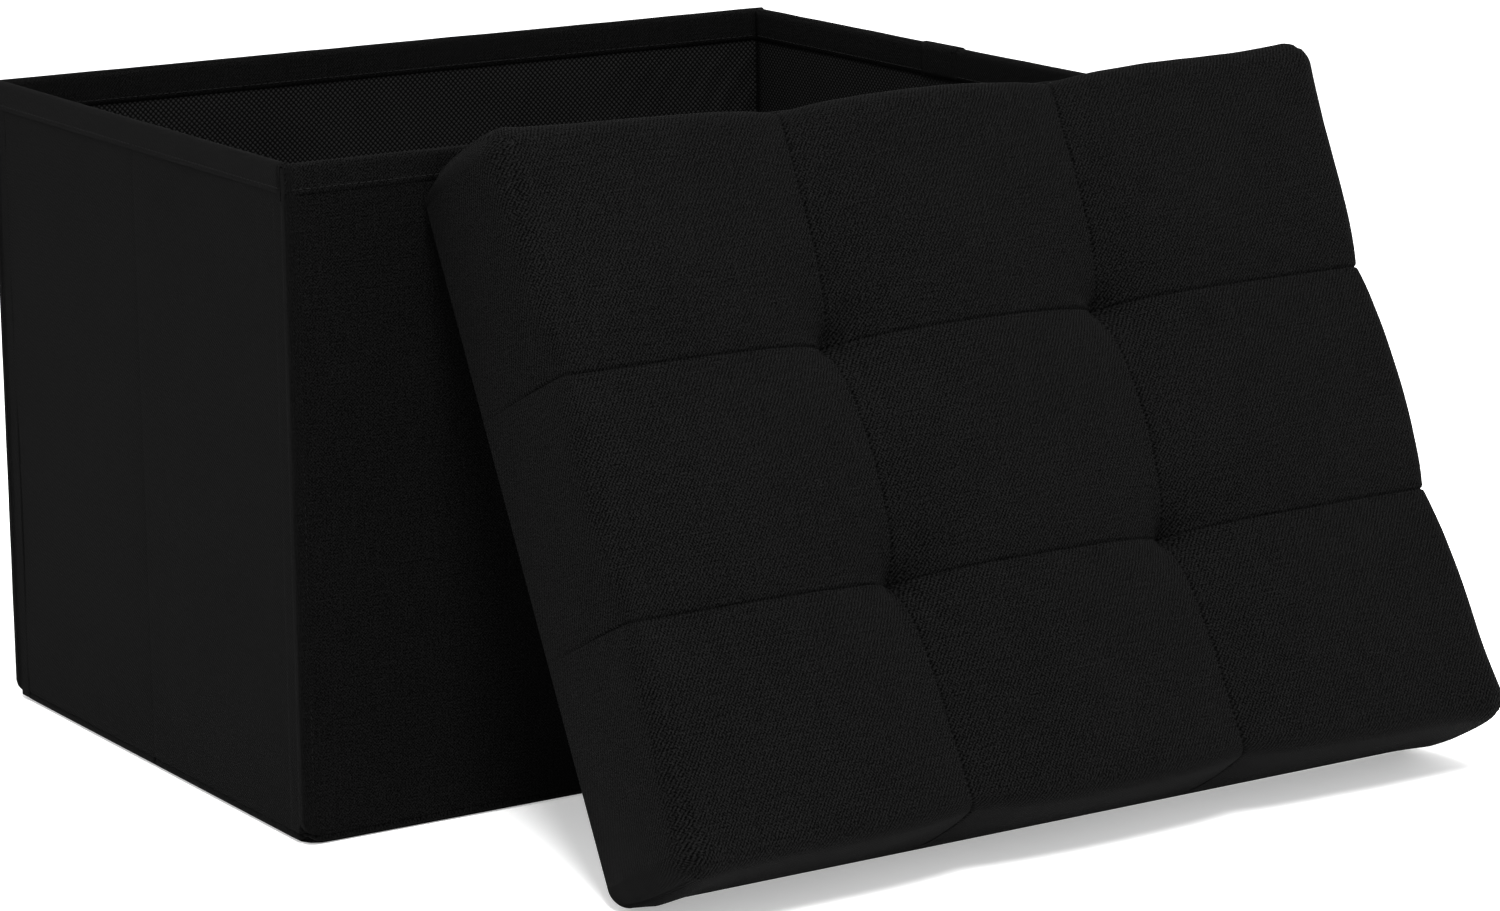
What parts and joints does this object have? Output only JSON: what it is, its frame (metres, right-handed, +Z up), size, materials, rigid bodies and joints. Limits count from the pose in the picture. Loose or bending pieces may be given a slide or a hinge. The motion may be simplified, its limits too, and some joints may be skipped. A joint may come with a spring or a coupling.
{
  "type": "folding storage ottoman",
  "caption": "Open fabric storage box with fold-flat walls and a loose base board, its tufted cushioned lid leaning on the front wall",
  "frame": {"origin": "centre of the box's underside, on the floor", "axes": "+X along the long side, -Y towards the wall that the lid leans on, +Z up"},
  "size_m": [0.4985, 0.5095, 0.3127],
  "materials": {
    "linen": "woven black linen-look cloth",
    "lid_linen": "woven black linen-look cloth",
    "binding_tape": "folded and stitched black cloth",
    "nonwoven": "embossed black non-woven cloth",
    "fibreboard": "raw medium-density fibreboard",
    "lid_wood": "raw medium-density fibreboard",
    "foam": "open-cell upholstery foam",
    "ribbon": "woven black ribbon",
    "cord": "twisted upholstery cord",
    "washer": "moulded plastic",
    "staple": "plain steel wire"
  },
  "bodies": {
    "rear_wall": {"rear_board": "fibreboard", "rear_cover": "linen", "rear_lining": "nonwoven", "rear_binding": "binding_tape", "rear_left_corner_strip": "binding_tape", "rear_right_corner_strip": "binding_tape", "bottom_cloth": "nonwoven"},
    "left_rear_half": {"left_rear_board": "fibreboard", "left_rear_cover": "linen", "left_rear_lining": "nonwoven", "left_rear_binding": "binding_tape"},
    "left_front_half": {"left_front_board": "fibreboard", "left_front_cover": "linen", "left_front_lining": "nonwoven", "left_front_binding": "binding_tape"},
    "front_wall": {"front_board": "fibreboard", "front_cover": "linen", "front_lining": "nonwoven", "front_binding": "binding_tape", "front_left_corner_strip": "binding_tape", "front_right_corner_strip": "binding_tape"},
    "right_rear_half": {"right_rear_board": "fibreboard", "right_rear_cover": "linen", "right_rear_lining": "nonwoven", "right_rear_binding": "binding_tape"},
    "right_front_half": {"right_front_board": "fibreboard", "right_front_cover": "linen", "right_front_lining": "nonwoven", "right_front_binding": "binding_tape", "binding_lap": "binding_tape"},
    "base": {"base_board": "fibreboard", "base_cover": "nonwoven", "pull_ribbon": "ribbon"},
    "lid": {"lid_board": "lid_wood", "lid_foam": "foam", "lid_cover": "lid_linen", "lid_lining": "nonwoven", "lid_staples": "staple", "tuft_ties": "cord", "tuft_washers": "washer"}
  },
  "joints": [
    {"name": "left_fold", "type": "hinge", "parent": "rear_wall", "child": "left_rear_half", "pos_m": [-0.2086, 0.1445, 0.15], "axis": [0, 0, 1], "range_deg": [0, 88]},
    {"name": "left_crease", "type": "hinge", "parent": "left_rear_half", "child": "left_front_half", "pos_m": [-0.2156, 0, 0.15], "axis": [0, 0, 1], "range_deg": [-176, 0]},
    {"name": "front_fold", "type": "hinge", "parent": "left_front_half", "child": "front_wall", "pos_m": [-0.2086, -0.1445, 0.15], "axis": [0, 0, 1], "range_deg": [0, 88]},
    {"name": "right_fold", "type": "hinge", "parent": "rear_wall", "child": "right_rear_half", "pos_m": [0.2086, 0.1445, 0.15], "axis": [0, 0, 1], "range_deg": [-88, 0]},
    {"name": "right_crease", "type": "hinge", "parent": "right_rear_half", "child": "right_front_half", "pos_m": [0.2156, 0, 0.15], "axis": [0, 0, 1], "range_deg": [0, 176]},
    {"name": "base_lift", "type": "slide", "parent": "rear_wall", "child": "base", "axis": [0, 0, 1], "range_m": [0, 0.34]},
    {"name": "lid_lift", "type": "slide", "parent": "rear_wall", "child": "lid", "axis": [0, 0, 1], "range_m": [0, 0.36]}
  ],
  "couplings": [
    {"joint": "left_crease", "follows": "left_fold", "ratio": -2},
    {"joint": "front_fold", "follows": "left_fold", "ratio": 1},
    {"joint": "right_fold", "follows": "left_fold", "ratio": -1},
    {"joint": "right_crease", "follows": "left_fold", "ratio": 2}
  ]
}
